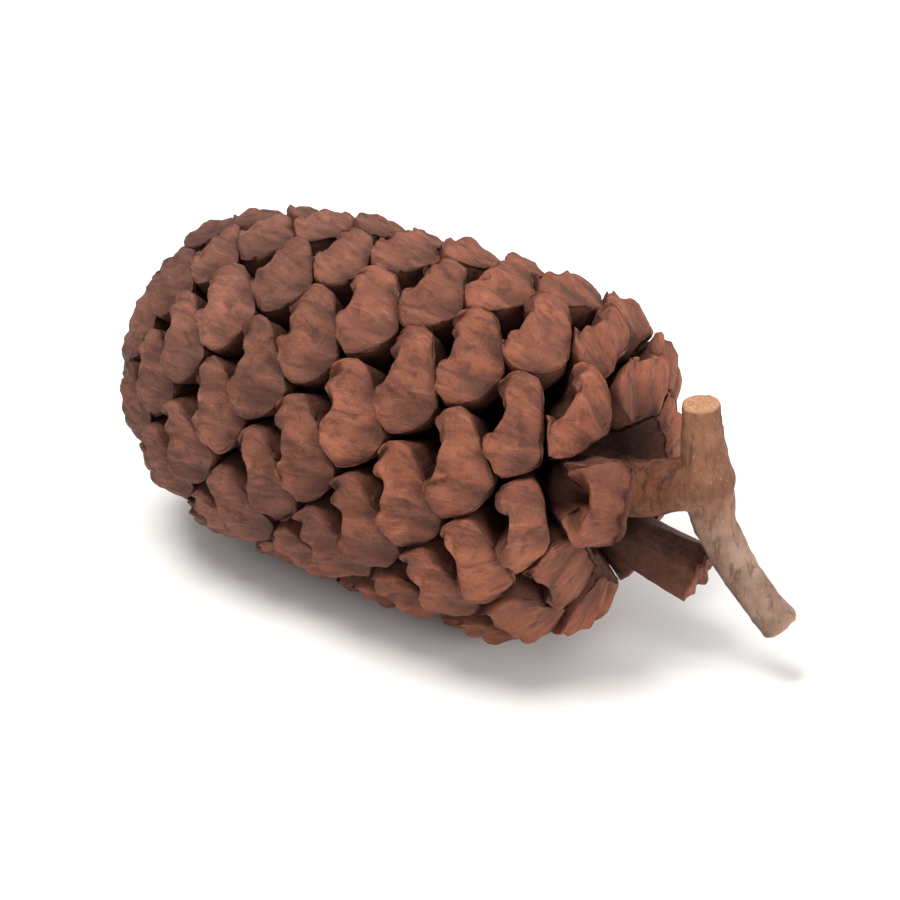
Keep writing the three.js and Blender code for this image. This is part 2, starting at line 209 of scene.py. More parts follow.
def seat(i):
    return i + 0.5 + 0.22 * jitter(i, 1), SPIRAL_HAND * i * DIVERGENCE + ROLL + 0.035 * jitter(i, 2)


def wrap(x):
    return x - 2 * math.pi * np.round(x / (2 * math.pi))


def to_frame(x, y, z):
    """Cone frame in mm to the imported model's frame in metres."""
    x, y = -x, -y
    c, s = math.cos(PITCH), math.sin(-PITCH)
    p = np.stack([x * c + z * s, y, -x * s + z * c], -1) + SET_DOWN
    p[:, 2] = np.maximum(p[:, 2], 0.0)
    return p / 1000


# ---------------------------------------------------------------- noise
def _hash(ix, iy, iz, seed):
    h = (ix * 374761393 + iy * 668265263 + iz * 2147483647 + seed * 974634777) & 0xFFFFFFFF
    h = ((h ^ (h >> 13)) * 1274126177) & 0xFFFFFFFF
    h = ((h ^ (h >> 16)) * 2246822519) & 0xFFFFFFFF
    return ((h ^ (h >> 15)) & 0xFFFFFF) / float(0xFFFFFF)


def noise(p, size, seed=0):
    """Smooth noise from -1 to 1 at points p (mm), with features of the given size."""
    q = p / size
    f = np.floor(q).astype(np.int64)
    t = q - f
    t = t * t * t * (t * (t * 6 - 15) + 10)
    out = 0
    for dx in (0, 1):
        wx = t[:, 0] if dx else 1 - t[:, 0]
        for dy in (0, 1):
            wy = t[:, 1] if dy else 1 - t[:, 1]
            for dz in (0, 1):
                wz = t[:, 2] if dz else 1 - t[:, 2]
                out = out + wx * wy * wz * _hash(f[:, 0] + dx, f[:, 1] + dy, f[:, 2] + dz, seed)
    return 2 * out - 1


def rough(p, size, seed=0, octaves=3):
    out, gain = 0, 1.0
    for k in range(octaves):
        out = out + gain * noise(p + 17.3 * k, size / 2**k, seed + k)
        gain *= 0.55
    return out


# ---------------------------------------------------------------- one scale
AROUND = 64  # points round a scale
BLADE = np.concatenate([np.linspace(0, 0.5, 7), np.linspace(0.5, 0.985, 18)[1:]])  # along it
EDGE = np.radians([15, 32, 50, 68, 84])  # round the lip's edge
FACE = np.array([0.93, 0.84, 0.74, 0.63, 0.52, 0.41, 0.3, 0.2, 0.1])  # rings over the lip's face


def scale_points(i, around=AROUND, blade=BLADE, edge=EDGE, face=FACE):
    """Points of scale i in the cone's frame (mm), in rings from claw to the middle of the lip, and what is where on it."""
    me_n, me_th = seat(i)
    area = float(area_at(along_of(me_n)))
    unit = math.sqrt(area)
    low = float(1 - smooth(0.05, 0.36, i / SCALES))
    in_tip = i >= SEPARATE_SCALES
    bent, more, wide_by = BENT.get(i, (0, 0, 1))
    w_lip = unit * (0.74 + 0.03 * float(jitter(i, 3))) * wide_by
    top = 0.62 * unit  # thickness above the middle, where the neighbours leave room
    foot = 0.8 * unit  # and below it
    slot = SLOT * unit / 2.07 * (mix(1.05, 1.55, low) + 0.3 * float(jitter(i, 4)))
    e = 0.07 * unit / 2.07  # how round the lip's edge is

    # rings: station along the path, how far in from the full outline, how far out past the path's end
    rho = np.concatenate([blade, np.ones(len(edge) + len(face) + 1)])
    inward = np.concatenate([np.zeros(len(blade)), e * (1 - np.cos(edge)), np.full(len(face) + 1, e)])
    outward = np.concatenate([np.full(len(blade), -e), -e + e * np.sin(edge), np.zeros(len(face) + 1)])
    shrink = np.concatenate([np.ones(len(blade) + len(edge)), face, [0.0]])
    onface = np.concatenate(
        [smooth(0.55, 0.985, blade) * 0.5, 0.5 + 0.5 * np.sin(edge), np.ones(len(face) + 1)]
    )
    rings = len(rho)
    phi = 2 * math.pi * np.arange(around) / around + 0.13
    cu, su = np.cos(phi), np.sin(phi)
    pw = 2 / 3.2 if wide_by >= 1 else 0.95
    bu, bv = np.sign(cu) * np.abs(cu) ** pw, np.sign(su) * np.abs(su) ** pw

    R = np.repeat(rho, around)
    end = smooth(0.4, 1, R)
    w = mix(0.28, w_lip, R**0.85)
    if in_tip:
        thick = mix(0.25, 0.4 * unit, smooth(0, 0.6, R))
        above = mix(thick, top, smooth(0.62, 0.9, R))
        below = mix(thick, foot, smooth(0.62, 0.95, R))
    else:
        above = mix(0.2, top, smooth(0.3, 1, R))
        below = mix(0.2, foot, smooth(0.4, 1, R))
    if wide_by < 1:
        # this lip is thinner too, and rounder
        above = above * mix(1, 0.65, smooth(0.3, 0.9, R))
        below = below * mix(1, 0.7, smooth(0.3, 0.9, R))
        w = w * mix(1, 0.85, smooth(0.4, 0.9, R))
    h = above
    su_, sv_ = np.tile(bu, rings), np.tile(bv, rings)
    q = np.repeat(shrink, around)
    inn = np.repeat(inward, around)
    u = su_ * q * (1 - inn / np.maximum(w, 1e-3))
    v = sv_ * q * (1 - inn / np.maximum(h, 1e-3))
    over = smooth(-0.25, 0.25, v)
    k_unit = unit / 2.07
    lobes = -0.11 * np.cos(2 * math.pi * u) * k_unit
    fine = 0.05 * np.cos(2 * math.pi * (2.1 + 0.3 * float(jitter(i, 8))) * u + 3 * float(jitter(i, 9))) * k_unit
    up = above
    down = above + (below - above) * (1 - np.abs(u)) + end * 0.3 * fine
    t = w * u * (1 - 0.1 * v * v * end)
    y = v * mix(down, up, over) + end * 0.16 * float(jitter(i, 6)) * t
    # keep to its own share of the space between its neighbours
    me = np.full_like(R, me_n)
    r0, g0 = metric(me, R)
    n_p = me_n + y / g0
    dth = t / r0
    r1, g1 = metric(np.clip(n_p, -2, N_MAX), R)
    px, py = r1 * dth, g1 * (n_p - me_n)
    total = np.ones_like(R)
    for j in range(max(0, i - 24), min(SCALES - 1, i + 24) + 1):
        if j == i:
            continue
        on, oth = seat(j)
        dx, dy = r1 * wrap(oth - me_th), g1 * (on - me_n)
        nx, ny = dx * mix(1, SQUARE, smooth(0.3, 0.9, R)), dy
        length = np.hypot(nx, ny)
        reach = (px * nx + py * ny) / length
        share = 0.5 - np.sign(dy) * LEAN * smooth(0.15, 0.75, np.abs(dy) / unit)
        gap = CELL_GAP_TIP if in_tip and j >= SEPARATE_SCALES else CELL_GAP
        limit = share * (dx * nx + dy * ny) / length - gap / 2
        total += np.where(reach > 0, np.maximum(reach, 0) / np.maximum(limit, 0.05), 0) ** 14
    k = total ** (-1 / 14)
    # the slot over the lip, with the lobes of its edge
    open_ = slot * np.clip(1 - (u / 0.85) ** 2, 0, 1) - end * (lobes + fine)
    n = me_n + k * (n_p - me_n) - smooth(0.5, 1, R) * np.maximum(open_, 0) * smooth(-0.1, 0.9, v) / g1
    n = np.clip(n, mix(-3, INNERMOST, smooth(0, 0.6, R)), N_MAX - 0.03)
    theta = me_th + k * dth
    # the lip swells outwards, most in the middle
    wave = 0.25 - 0.2 * np.cos(3 * math.pi * u + 1.2 * float(jitter(i, 12)))
    crest = np.exp(-(((v - wave) / 0.42) ** 2))
    swell = 0.09 * float(jitter(i, 5)) + unit * (0.13 * (1 - 0.4 * u * u) * crest - 0.06 * smooth(0.0, -1.0, v) - 0.03)
    full = np.repeat(onface, around)
    out = np.repeat(outward, around) + swell * smooth(0.3, 1, full) * np.where(R >= 1, 1, full)
    # furrows down from the upper edge, a low crest across, and the small boss in the middle
    furrow = 0.5 - 0.5 * np.cos(2 * math.pi * (2.0 + 0.25 * float(jitter(i, 10))) * u + 2.0 * float(jitter(i, 11)))
    relief = -0.15 * furrow * smooth(-0.25, 0.6, v) * k_unit
    ribs = 0.5 - 0.5 * np.cos(2 * math.pi * (1.5 + 0.4 * float(jitter(i, 13))) * u + 3.0 * float(jitter(i, 14)))
    relief = relief - 0.09 * ribs * smooth(0.1, -0.7, v) * k_unit
    d2 = (u / 0.2) ** 2 + ((v + 0.25) / 0.2) ** 2
    relief = relief + (0.07 * np.exp(-d2 * 0.5) - 0.16 * np.exp(-d2 * 4)) * k_unit
    out += np.where(R >= 1, relief, 0)
    # how far a point lies down in the relief's furrows and pits; the material paints shade there
    hollow_shade = np.clip((0.09 - relief / k_unit - 0.13 * crest) / 0.2, 0, 1)
    ra = point_on(n, R, out)
    r, a = ra[:, 0], ra[:, 1]
    start = axis_radius(a) + (CLAW_GAP if not in_tip else 0.17)
    r = np.where(R == 0, np.maximum(r, start), r)
    a = a - bent * (1 - more * v) * R**3
    pts = np.stack([a, r * np.cos(theta), r * np.sin(theta)], -1)
    return pts, rings, full, u, v, R, hollow_shade


def skin_faces(rings, around):
    """Quads between rings, all but the last, which is a single point; the fans over it and over the first ring are made
    in scale_skin.
    """
    f = []
    k = np.arange(around)
    k2 = (k + 1) % around
    for s in range(rings - 2):
        a, b = s * around, (s + 1) * around
        f.append(np.stack([a + k, a + k2, b + k2, b + k], -1))
    return np.concatenate(f)


def vertex_normals(p, quads, tris):
    n = np.zeros_like(p)
    for f, pick in ((quads, (0, 1, 2, 3)), (tris, (0, 1, 2))):
        if not len(f):
            continue
        if len(pick) == 4:
            fn = np.cross(p[f[:, 2]] - p[f[:, 0]], p[f[:, 3]] - p[f[:, 1]])
        else:
            fn = np.cross(p[f[:, 1]] - p[f[:, 0]], p[f[:, 2]] - p[f[:, 0]])
        for c in pick:
            np.add.at(n, f[:, c], fn)
    return n / np.maximum(np.linalg.norm(n, axis=1, keepdims=True), 1e-12)


def scale_skin(i, **how):
    """A closed scale: points (mm, cone frame), quads, tris and per-point values."""
    around = how.get("around", AROUND)
    pts, rings, full, u, v, R, hollow_shade = scale_points(i, **how)
    last = (rings - 1) * around
    # the last ring is a single point
    keep = last + 1
    p = pts[:keep].copy()
    values = {k: x[:keep].copy() for k, x in (("face", full), ("u", u), ("v", v), ("rho", R), ("hollow_shade", hollow_shade))}
    claw = p[:around].mean(0)
    p = np.vstack([p, claw])
    for name in values:
        values[name] = np.append(values[name], 0.0)
    quads = skin_faces(rings, around)
    k = np.arange(around)
    k2 = (k + 1) % around
    a = (rings - 2) * around
    top = np.stack([a + k, a + k2, np.full(around, last)], -1)
    bottom = np.stack([k2, k, np.full(around, len(p) - 1)], -1)
    tris = np.concatenate([top, bottom])
    # face outwards
    c = p.mean(0)
    vol = 0.0
    for f in (quads[:, [0, 1, 2]], quads[:, [0, 2, 3]], tris):
        vol += np.einsum("ij,ij->i", p[f[:, 0]] - c, np.cross(p[f[:, 1]] - c, p[f[:, 2]] - c)).sum()
    if vol < 0:
        quads, tris = quads[:, ::-1], tris[:, ::-1]
    n = vertex_normals(p, quads, tris)
    # woody unevenness: along the blade it is streaked, on the lip it is knobbly
    on_lip = values["face"]
    bumps = 0.03 * rough(p + 31.7 * i, 0.55, 3, 2) + 0.014 * rough(p + 11.1 * i, 0.2, 9, 2)
    streak = 0.02 * noise(
        np.stack([values["u"] * 9 + i, np.sign(values["v"]) * 2.0 + i * 3.1, values["rho"] * 2], -1), 1.0, 5
    )
    p = p + n * (bumps * (0.35 + 0.65 * on_lip) + streak * (1 - on_lip))[:, None]
    values["number"] = np.full(len(p), float(i))
    return p, quads, tris, values


def make_mesh(name, p, quads, tris, values):
    """A shaded-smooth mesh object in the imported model's frame from points in the cone's frame."""
    v = to_frame(p[:, 0], p[:, 1], p[:, 2])
    me = bpy.data.meshes.new(name)
    loops = np.concatenate([quads.ravel(), tris.ravel()]).astype(np.int32)
    totals = np.concatenate([np.full(len(quads), 4), np.full(len(tris), 3)]).astype(np.int32)
    starts = np.concatenate([[0], np.cumsum(totals)[:-1]]).astype(np.int32)
    me.vertices.add(len(v))
    me.vertices.foreach_set("co", v.astype(np.float32).ravel())
    me.loops.add(len(loops))
    me.loops.foreach_set("vertex_index", loops)
    me.polygons.add(len(totals))
    me.polygons.foreach_set("loop_start", starts)
    me.polygons.foreach_set("loop_total", totals)
    me.update(calc_edges=True)
    me.polygons.foreach_set("use_smooth", np.ones(len(totals), bool))
    for key, val in values.items():
        at = me.attributes.new(key, "FLOAT", "POINT")
        at.data.foreach_set("value", val.astype(np.float32))
    me.validate()
    ob = bpy.data.objects.new(name, me)
    bpy.context.scene.collection.objects.link(ob)
    return ob


# ---------------------------------------------------------------- materials
def srgb(r, g, b):
    def lin(c):
        c /= 255
        return c / 12.92 if c <= 0.04045 else ((c + 0.055) / 1.055) ** 2.4

    return (lin(r), lin(g), lin(b), 1.0)


class Nodes:
    """Short names for building a node tree."""

    def __init__(self, name):
        self.mat = bpy.data.materials.new(name)
        self.mat.use_nodes = True
        self.t = self.mat.node_tree
        self.shader = self.t.nodes["Principled BSDF"]

    def new(self, kind, **inputs):
        n = self.t.nodes.new(kind)
        for k, val in inputs.items():
            self.put(n.inputs[k.replace("_", " ")], val)
        return n

    def put(self, socket, val):
        if hasattr(val, "is_output") or isinstance(val, bpy.types.NodeSocket):
            self.t.links.new(val, socket)
        else:
            socket.default_value = val

    def math(self, op, a, b=None, c=None, clamp=False):
        n = self.t.nodes.new("ShaderNodeMath")
        n.operation = op
        n.use_clamp = clamp
        for s, val in zip(n.inputs, (a, b, c)):
            if val is not None:
                self.put(s, val)
        return n.outputs[0]

    def mix(self, f, a, b, blend="MIX"):
        n = self.t.nodes.new("ShaderNodeMix")
        n.data_type = "RGBA"
        n.blend_type = blend
        n.clamp_factor = True
        self.put(n.inputs[0], f)
        self.put(n.inputs[6], a)
        self.put(n.inputs[7], b)
        return n.outputs[2]

    def ramp(self, f, lo, hi, a=0.0, b=1.0):
        n = self.t.nodes.new("ShaderNodeMapRange")
        n.interpolation_type = "SMOOTHSTEP"
        for k, val in zip(range(5), (f, lo, hi, a, b)):
            self.put(n.inputs[k], val)
        return n.outputs[0]

    def attr(self, name):
        n = self.t.nodes.new("ShaderNodeAttribute")
        n.attribute_name = name
        return n.outputs["Fac"]

    def noise(self, coords, size_mm, detail=3.0, rough=0.55, distort=0.0):
        n = self.t.nodes.new("ShaderNodeTexNoise")
        self.put(n.inputs["Vector"], coords)
        n.inputs["Scale"].default_value = 1000 / size_mm
        n.inputs["Detail"].default_value = detail
        n.inputs["Roughness"].default_value = rough
        n.inputs["Distortion"].default_value = distort
        return n.outputs["Fac"]

    def bump(self, height, strength, mm, normal=None):
        n = self.t.nodes.new("ShaderNodeBump")
        n.inputs["Strength"].default_value = strength
        n.inputs["Distance"].default_value = mm / 1000
        self.put(n.inputs["Height"], height)
        if normal is not None:
            self.put(n.inputs["Normal"], normal)
        return n.outputs["Normal"]


def scale_material():
    m = Nodes("woody_scale")
    co = m.new("ShaderNodeTexCoord").outputs["Object"]
    face = m.attr("face")
    number = m.attr("number")
    # every scale its own tone
    white = m.t.nodes.new("ShaderNodeTexWhiteNoise")
    white.noise_dimensions = "1D"
    m.put(white.inputs["W"], number)
    own = white.outputs["Value"]
    along = m.ramp(number, 20.0, 96.0)  # pinker and greyer towards the tip
    broad = m.noise(co, 1.6, 3.0, 0.6)
    mottle = m.noise(co, 0.45, 4.0, 0.65, 0.4)
    grain = m.noise(co, 0.12, 4.0, 0.7)
    fine = m.noise(co, 0.05, 2.0, 0.6)
    # wrinkles that run down each lip
    lip = m.t.nodes.new("ShaderNodeCombineXYZ")
    m.put(lip.inputs[0], m.math("MULTIPLY", m.attr("u"), 5.5))
    m.put(lip.inputs[1], m.math("MULTIPLY", m.attr("v"), 1.7))
    m.put(lip.inputs[2], m.math("MULTIPLY", number, 3.7))
    wrinkle = m.noise(lip.outputs[0], 1000.0, 3.0, 0.6, 0.5)
    base = m.mix(along, srgb(119, 67, 49), srgb(110, 68, 56))
    warm = m.mix(along, srgb(148, 85, 60), srgb(138, 88, 72))
    dark = m.mix(along, srgb(78, 42, 30), srgb(74, 45, 37))
    col = m.mix(m.ramp(broad, 0.35, 0.68), base, warm)
    col = m.mix(m.math("MULTIPLY", m.ramp(mottle, 0.5, 0.3), 0.7), col, dark)
    col = m.mix(m.math("MULTIPLY", m.ramp(wrinkle, 0.5, 0.34), 0.6), col, dark)
    col = m.mix(m.math("MULTIPLY", m.ramp(wrinkle, 0.55, 0.7), 0.35), col, srgb(176, 114, 86))
    col = m.mix(m.math("MULTIPLY", m.ramp(grain, 0.56, 0.72), 0.4), col, srgb(172, 118, 94))
    col = m.mix(m.math("MULTIPLY", m.ramp(fine, 0.42, 0.3), 0.45), col, srgb(70, 40, 30))
    # painted shade: darker in the furrows and pits of the lips, where shade falls
    col = m.mix(m.math("MULTIPLY", m.ramp(m.attr("hollow_shade"), 0.15, 0.9), 0.65), col, srgb(66, 37, 27))
    # own lightness
    col = m.mix(0.55, col, m.mix(own, srgb(170, 170, 170), srgb(255, 255, 255)), "MULTIPLY")
    # painted shade: the sides of the scales, down between neighbours, are painted darker, most inwards towards the
    # axis; their browner tone is their own colour
    side_brown_and_shade = m.mix(m.ramp(mottle, 0.35, 0.65), srgb(66, 37, 27), srgb(90, 52, 38))
    painted_deep_shade = m.mix(m.ramp(m.attr("rho"), 0.45, 0.9), srgb(56, 32, 23), side_brown_and_shade)
    col = m.mix(m.ramp(face, 0.3, 0.85), painted_deep_shade, col)
    m.put(m.shader.inputs["Base Color"], col)
    m.put(m.shader.inputs["Roughness"], m.ramp(grain, 0.3, 0.7, 0.62, 0.86))
    m.shader.inputs["Specular IOR Level"].default_value = 0.32
    h0 = m.bump(wrinkle, 0.6, 0.11)
    h1 = m.bump(mottle, 0.55, 0.09, h0)
    h2 = m.bump(grain, 0.6, 0.04, h1)
    h3 = m.bump(fine, 0.35, 0.012, h2)
    m.put(m.shader.inputs["Normal"], h3)
    return m.mat


def twig_material():
    m = Nodes("twig_bark")
    co = m.new("ShaderNodeTexCoord").outputs["Object"]
    cut = m.attr("cut")
    up = m.attr("up")
    broad = m.noise(co, 1.3, 3.0, 0.6)
    stretch = m.t.nodes.new("ShaderNodeMapping")
    stretch.inputs["Scale"].default_value = (1.0, 1.0, 0.28)
    m.put(stretch.inputs["Vector"], co)
    streak = m.noise(stretch.outputs[0], 0.22, 4.0, 0.65, 0.3)
    grain = m.noise(co, 0.09, 3.0, 0.65)
    bark = m.mix(up, srgb(116, 91, 78), srgb(104, 65, 45))
    light = m.mix(up, srgb(146, 118, 102), srgb(130, 88, 64))
    col = m.mix(m.ramp(broad, 0.38, 0.66), bark, light)
    col = m.mix(m.math("MULTIPLY", m.ramp(streak, 0.5, 0.32), 0.7), col, srgb(82, 54, 41))
    col = m.mix(m.math("MULTIPLY", m.ramp(grain, 0.58, 0.72), 0.4), col, srgb(186, 150, 120))
    wood = m.mix(m.ramp(grain, 0.35, 0.65), srgb(156, 112, 81), srgb(180, 138, 105))
    # the stalk is the colour of the scales, and painted darker still as the shade under the cone's base
    stalk = m.mix(m.ramp(streak, 0.35, 0.65), srgb(72, 40, 26), srgb(112, 68, 46))
    col = m.mix(m.attr("stalk"), col, stalk)
    col = m.mix(cut, col, wood)
    # painted shade: the axis inside the cone, down among the scales, is painted dark
    col = m.mix(m.attr("inside_cone_shade"), col, srgb(70, 42, 30))
    m.put(m.shader.inputs["Base Color"], col)
    m.put(m.shader.inputs["Roughness"], m.ramp(grain, 0.3, 0.7, 0.66, 0.88))
    m.shader.inputs["Specular IOR Level"].default_value = 0.3
    h1 = m.bump(streak, 0.6, 0.07)
    h2 = m.bump(grain, 0.4, 0.02, h1)
    m.put(m.shader.inputs["Normal"], h2)
    return m.mat


SCALE_MAT = scale_material()
TWIG_MAT = twig_material()

# ---------------------------------------------------------------- the open scales
for i in range(SEPARATE_SCALES):
    p, quads, tris, values = scale_skin(i)
    node = f"scale_{i + 1:02d}"
    ob = make_mesh(f"woody_{node}", p, quads, tris, values)
    ob.data.materials.append(SCALE_MAT)
    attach(ob, "root")
    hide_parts(node)


# ---------------------------------------------------------------- the closed tip
def turned(profile, sides):
    """A closed turned body about the cone's axis, from (radius, along) pairs that start and end on it."""
    prof = profile[1:-1]
    k = np.arange(sides)
    th = 2 * math.pi * k / sides
    rings = [np.stack([np.full(sides, a), r * np.cos(th), r * np.sin(th)], -1) for r, a in prof]
    p = np.vstack(rings + [[[profile[0][1], 0, 0]], [[profile[-1][1], 0, 0]]])
    k2 = (k + 1) % sides
    quads = np.concatenate(
        [np.stack([s * sides + k, (s + 1) * sides + k, (s + 1) * sides + k2, s * sides + k2], -1) for s in range(len(prof) - 1)]
    )
    m = len(p)
    last = (len(prof) - 1) * sides
    tris = np.concatenate(
        [np.stack([k, k2, np.full(sides, m - 2)], -1), np.stack([last + k2, last + k, np.full(sides, m - 1)], -1)]
    )
    c = p.mean(0)
    vol = 0.0
    for f in (quads[:, [0, 1, 2]], quads[:, [0, 2, 3]], tris):
        vol += np.einsum("ij,ij->i", p[f[:, 0]] - c, np.cross(p[f[:, 1]] - c, p[f[:, 2]] - c)).sum()
    if vol < 0:
        quads, tris = quads[:, ::-1], tris[:, ::-1]
    return p, quads, tris


def boolean(target, tool, how):
    mod = target.modifiers.new("join", "BOOLEAN")
    mod.operation = how
    mod.object = tool
    mod.solver = "MANIFOLD"
    dg = bpy.context.evaluated_depsgraph_get()
    me = bpy.data.meshes.new_from_object(target.evaluated_get(dg), depsgraph=dg)
    old = target.data
    target.modifiers.clear()
    target.data = me
    bpy.data.meshes.remove(old)
    bpy.data.objects.remove(tool)


TIP_HOW = dict(
    around=52,
    blade=np.concatenate([np.linspace(0, 0.5, 4), np.linspace(0.5, 0.985, 14)[1:]]),
    edge=np.radians([22, 48, 74]),
    face=np.array([0.9, 0.77, 0.62, 0.46, 0.3, 0.15]),
)
low = float(point_on(np.array([seat(SEPARATE_SCALES)[0]]), np.zeros(1))[0, 1]) + 0.25
n_core = SEPARATE_SCALES + 13
wide = point_on(np.array([float(n_core)]), np.array([0.7]))[0]
core_foot = point_on(np.array([float(n_core)]), np.zeros(1))[0, 1] - 0.1
profile = [
    (0, low),
    (float(axis_radius(low)) + 0.3, low),
    (float(axis_radius(low)) + 0.36, core_foot),
    (wide[0], wide[1]),
]
for k in range(1, 6):
    profile.append((max(0.0, wide[0] * math.sqrt(max(0, 1 - (k / 5) ** 3))), mix(wide[1], BODY_LENGTH - 0.95, k / 5)))
cp, cq, ct = turned(profile, 40)
core = make_mesh("tip_core", cp, cq, ct, {n: np.zeros(len(cp)) for n in ("face", "u", "v", "rho", "hollow_shade", "number")})
ps, qs, ts, vs, base = [], [], [], {}, 0
for i in range(SEPARATE_SCALES, SCALES):
    p, quads, tris, values = scale_skin(i, **TIP_HOW)
    ps.append(p)
    qs.append(quads + base)
    ts.append(tris + base)
    for key, val in values.items():
        vs.setdefault(key, []).append(val)
    base += len(p)
tip = make_mesh(
    "woody_tip", np.vstack(ps), np.concatenate(qs), np.concatenate(ts), {k: np.concatenate(v) for k, v in vs.items()}
)
boolean(tip, core, "UNION")
bore = [
    (0, low - 1),
    (float(axis_radius(low - 1)) + 0.05, low - 1),
    (float(axis_radius(AXIS_TOP)) + 0.05, AXIS_TOP + 0.05),
    (0, AXIS_TOP + 0.05),
]
bp, bq, bt = turned(bore, 24)
tool = make_mesh("tip_bore", bp, bq, bt, {n: np.zeros(len(bp)) for n in ("face", "u", "v", "rho", "hollow_shade", "number")})
boolean(tip, tool, "DIFFERENCE")
tip.data.polygons.foreach_set("use_smooth", np.ones(len(tip.data.polygons), bool))
tip.data.materials.clear()
tip.data.materials.append(SCALE_MAT)
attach(tip, "root")
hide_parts("closed_tip")


# ---------------------------------------------------------------- the stalk and its piece of twig
def catmull(points, steps):
    """Points along a smooth curve through rows of (x, y, z, r)."""
    P = np.array(points, float)
    P = np.vstack([2 * P[0] - P[1], P, 2 * P[-1] - P[-2]])
    out = []
    for s in range(1, len(P) - 2):
        t = np.linspace(0, 1, steps, endpoint=False)[:, None]
        a, b, c, d = P[s - 1], P[s], P[s + 1], P[s + 2]
        out.append(0.5 * (2 * b + (c - a) * t + (2 * a - 5 * b + 4 * c - d) * t**2 + (3 * b - a - 3 * c + d) * t**3))
    out.append(P[-2][None])
    return np.vstack(out)


def limb(points, steps=14, sides=48, bevel=0.06):
    """A closed round bar in the cone's frame along the smooth curve, its ends closed flat."""
    c = catmull([(-x, -y, z, r) for x, y, z, r in points], steps)
    x, r = c[:, :3], c[:, 3]
    d = np.gradient(x, axis=0)
    d /= np.linalg.norm(d, axis=1, keepdims=True)
    ref = np.array([0.0, 1.0, 0.0])
    n0 = np.cross(d, ref)
    n0 /= np.linalg.norm(n0, axis=1, keepdims=True)
    b0 = np.cross(d, n0)
    th = 2 * math.pi * np.arange(sides) / sides
    rings = []
    for k in range(len(x)):
        rings.append(x[k] + r[k] * (np.cos(th)[:, None] * n0[k] + np.sin(th)[:, None] * b0[k]))
    k = np.arange(sides)
    k2 = (k + 1) % sides
    p = np.vstack(rings + [x[:1], x[-1:]])
    quads = np.concatenate([np.stack([s * sides + k, s * sides + k2, (s + 1) * sides + k2, (s + 1) * sides + k], -1) for s in range(len(x) - 1)])
    last = (len(x) - 1) * sides
    m = len(p)
    tris = np.concatenate(
        [np.stack([k2, k, np.full(sides, m - 2)], -1), np.stack([last + k, last + k2, np.full(sides, m - 1)], -1)]
    )
    cc = p.mean(0)
    vol = 0.0
    for f in (quads[:, [0, 1, 2]], quads[:, [0, 2, 3]], tris):
        vol += np.einsum("ij,ij->i", p[f[:, 0]] - cc, np.cross(p[f[:, 1]] - cc, p[f[:, 2]] - cc)).sum()
    if vol < 0:
        quads, tris = quads[:, ::-1], tris[:, ::-1]
    return p, quads, tris


axis_p = turned(
    [
        (0, 0.6),
        (float(axis_radius(0.6)) * 0.8, 0.6),
        (float(axis_radius(1.6)), 1.6),
        (float(axis_radius(AXIS_TOP)), AXIS_TOP - 0.2),
        (0, AXIS_TOP),
    ],
    32,
)
stalk = make_mesh("stalk", *axis_p, {})
for part in (limb(STALK), limb(TWIG)):
    boolean(stalk, make_mesh("bar", *part, {}), "UNION")
# the swelling where the stalk leaves the twig
th, ph = np.meshgrid(np.linspace(0, 2 * math.pi, 32, endpoint=False), np.linspace(0, math.pi, 19)[1:-1])
sp = np.stack([np.cos(ph), np.sin(ph) * np.cos(th), np.sin(ph) * np.sin(th)], -1).reshape(-1, 3) * 0.8
ns = 17
kk = np.arange(32)
kk2 = (kk + 1) % 32
sq = np.concatenate([np.stack([s * 32 + kk, s * 32 + kk2, (s + 1) * 32 + kk2, (s + 1) * 32 + kk], -1) for s in range(ns - 1)])
sp = np.vstack([sp, [[0.8, 0, 0]], [[-0.8, 0, 0]]])
st = np.concatenate(
    [np.stack([kk2, kk, np.full(32, ns * 32)], -1), np.stack([(ns - 1) * 32 + kk, (ns - 1) * 32 + kk2, np.full(32, ns * 32 + 1)], -1)]
)
sp = sp + np.array([-1.9, -0.42, 0.75])
cc = sp.mean(0)
vol = np.einsum("ij,ij->i", sp[st[:, 0]] - cc, np.cross(sp[st[:, 1]] - cc, sp[st[:, 2]] - cc)).sum()
if vol < 0:
    sq, st = sq[:, ::-1], st[:, ::-1]
boolean(stalk, make_mesh("knot", sp, sq, st, {}), "UNION")

mod = stalk.modifiers.new("blend", "REMESH")
mod.mode = "VOXEL"
mod.voxel_size = 0.055e-3
mod.use_smooth_shade = True
mod = stalk.modifiers.new("ease", "SMOOTH")
mod.factor = 0.5
mod.iterations = 5
dg = bpy.context.evaluated_depsgraph_get()
me = bpy.data.meshes.new_from_object(stalk.evaluated_get(dg), depsgraph=dg)
stalk.modifiers.clear()
stalk.data = me

# bark: long ridges and small knobs; the ends stay plain
count = len(me.vertices)
co = np.empty(count * 3, np.float32)
no = np.empty(count * 3, np.float32)
me.vertices.foreach_get("co", co)
me.vertices.foreach_get("normal", no)
co, no = co.reshape(-1, 3).astype(float) * 1000, no.reshape(-1, 3).astype(float)


def cone_of(p):
    """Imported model's frame (mm) back to [out of the stalk end, away, up] from the middle of the stalk end."""
    q = p - SET_DOWN
    c, s = math.cos(-PITCH), math.sin(PITCH)
    return np.stack([q[:, 0] * c + q[:, 2] * s, q[:, 1], -q[:, 0] * s + q[:, 2] * c], -1)


